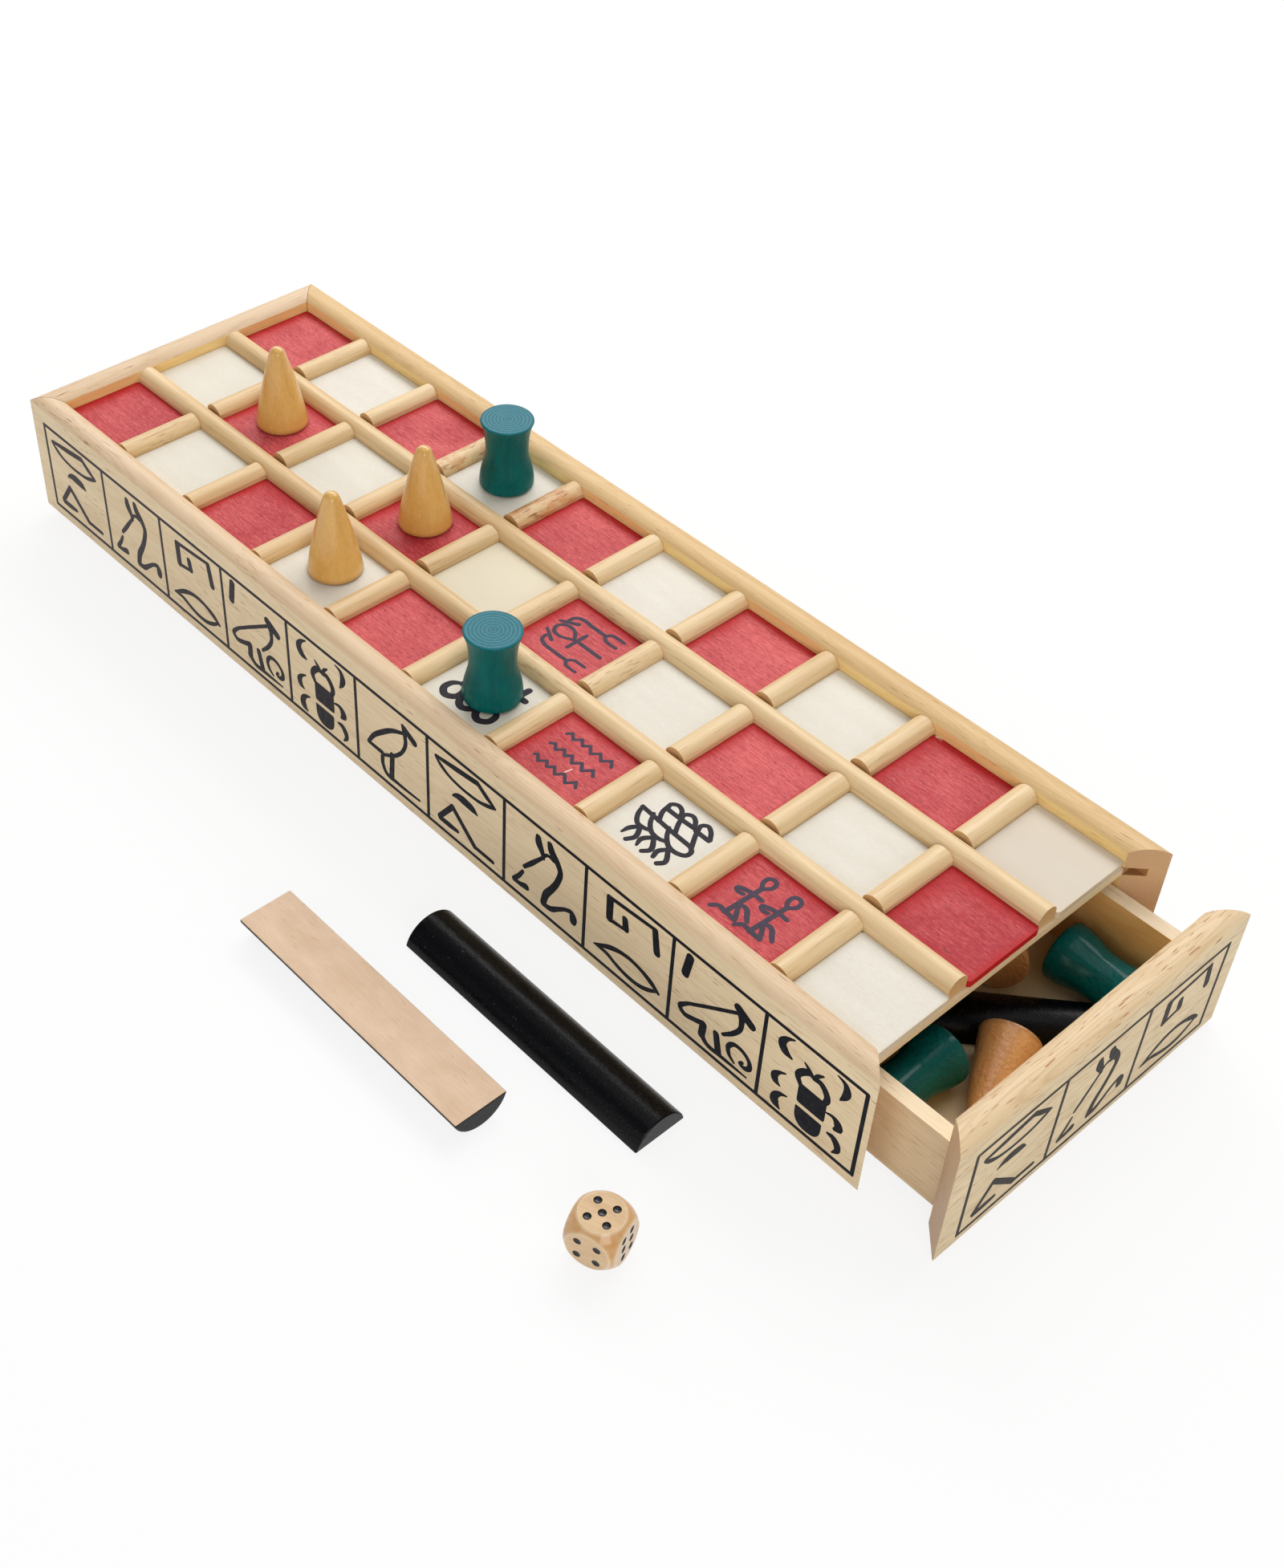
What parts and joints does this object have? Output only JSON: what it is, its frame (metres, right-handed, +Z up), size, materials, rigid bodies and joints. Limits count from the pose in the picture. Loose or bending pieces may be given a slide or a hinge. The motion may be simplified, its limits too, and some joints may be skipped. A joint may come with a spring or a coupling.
{
  "type": "senet game box",
  "caption": "Shallow mitred wooden case with a framed game board on top, a full-length drawer, and turned game pieces, throwing sticks and a die.",
  "frame": {"origin": "middle of the closed box's underside, on the surface it stands on", "axes": "+X along the box towards the drawer's front, +Y across the box away from the sticks and the die, +Z up"},
  "size_m": [0.4267, 0.1954, 0.0749],
  "materials": {
    "pine": "satin",
    "plywood": "satin",
    "divider_wood": "satin",
    "red_stain": "satin",
    "plain_wood": "satin",
    "cone_wood": "satin",
    "green_stain": "satin",
    "stick_wood": "satin",
    "die_wood": "gloss",
    "pin_steel": "bright"
  },
  "bodies": {
    "box": {"floor_panel": "plywood", "board_panel": "plywood", "near_side_rail": "pine", "far_side_rail": "pine", "end_rail": "pine", "floor_pins": "pin_steel", "long_divider_near": "divider_wood", "long_divider_far": "divider_wood", "cross_divider_near_1": "divider_wood", "cross_divider_near_2": "divider_wood", "cross_divider_near_3": "divider_wood", "cross_divider_near_4": "divider_wood", "cross_divider_near_5": "divider_wood", "cross_divider_near_6": "divider_wood", "cross_divider_near_7": "divider_wood", "cross_divider_near_8": "divider_wood", "cross_divider_near_9": "divider_wood", "cross_divider_middle_1": "divider_wood", "cross_divider_middle_2": "divider_wood", "cross_divider_middle_3": "divider_wood", "cross_divider_middle_4": "divider_wood", "cross_divider_middle_5": "divider_wood", "cross_divider_middle_6": "divider_wood", "cross_divider_middle_7": "divider_wood", "cross_divider_middle_8": "divider_wood", "cross_divider_middle_9": "divider_wood", "cross_divider_far_1": "divider_wood", "cross_divider_far_2": "divider_wood", "cross_divider_far_3": "divider_wood", "cross_divider_far_4": "divider_wood", "cross_divider_far_5": "divider_wood", "cross_divider_far_6": "divider_wood", "cross_divider_far_7": "divider_wood", "cross_divider_far_8": "divider_wood", "cross_divider_far_9": "divider_wood", "red_squares": "red_stain", "plain_squares": "plain_wood"},
    "drawer": {"drawer_front": "pine", "drawer_bottom": "plywood", "drawer_side_near": "pine", "drawer_side_far": "pine", "drawer_back": "pine", "drawer_pins": "pin_steel", "cone_4": "cone_wood", "cone_5": "cone_wood", "spool_3": "green_stain", "spool_4": "green_stain", "spool_5": "green_stain", "stick_3": "stick_wood", "stick_4": "stick_wood"},
    "loose_cone_1": {"cone_1": "cone_wood"},
    "loose_cone_2": {"cone_2": "cone_wood"},
    "loose_cone_3": {"cone_3": "cone_wood"},
    "loose_spool_1": {"spool_1": "green_stain"},
    "loose_spool_2": {"spool_2": "green_stain"},
    "loose_stick_1": {"stick_1": "stick_wood"},
    "loose_stick_2": {"stick_2": "stick_wood"},
    "loose_die": {"die": "die_wood"}
  },
  "joints": [
    {"name": "drawer_slide", "type": "slide", "parent": "box", "child": "drawer", "axis": [1, 0, 0], "range_m": [-0.0265, 0.2733]},
    {"name": "cone_1_lift", "type": "slide", "parent": "box", "child": "loose_cone_1", "axis": [0, 0, 1], "range_m": [0, 0.12]},
    {"name": "cone_2_lift", "type": "slide", "parent": "box", "child": "loose_cone_2", "axis": [0, 0, 1], "range_m": [0, 0.12]},
    {"name": "cone_3_lift", "type": "slide", "parent": "box", "child": "loose_cone_3", "axis": [0, 0, 1], "range_m": [0, 0.12]},
    {"name": "spool_1_lift", "type": "slide", "parent": "box", "child": "loose_spool_1", "axis": [0, 0, 1], "range_m": [0, 0.12]},
    {"name": "spool_2_lift", "type": "slide", "parent": "box", "child": "loose_spool_2", "axis": [0, 0, 1], "range_m": [0, 0.12]},
    {"name": "stick_1_lift", "type": "slide", "parent": "box", "child": "loose_stick_1", "axis": [0, 0, 1], "range_m": [0, 0.12]},
    {"name": "stick_2_lift", "type": "slide", "parent": "box", "child": "loose_stick_2", "axis": [0, 0, 1], "range_m": [0, 0.12]},
    {"name": "die_lift", "type": "slide", "parent": "box", "child": "loose_die", "axis": [0, 0, 1], "range_m": [0, 0.12]}
  ]
}
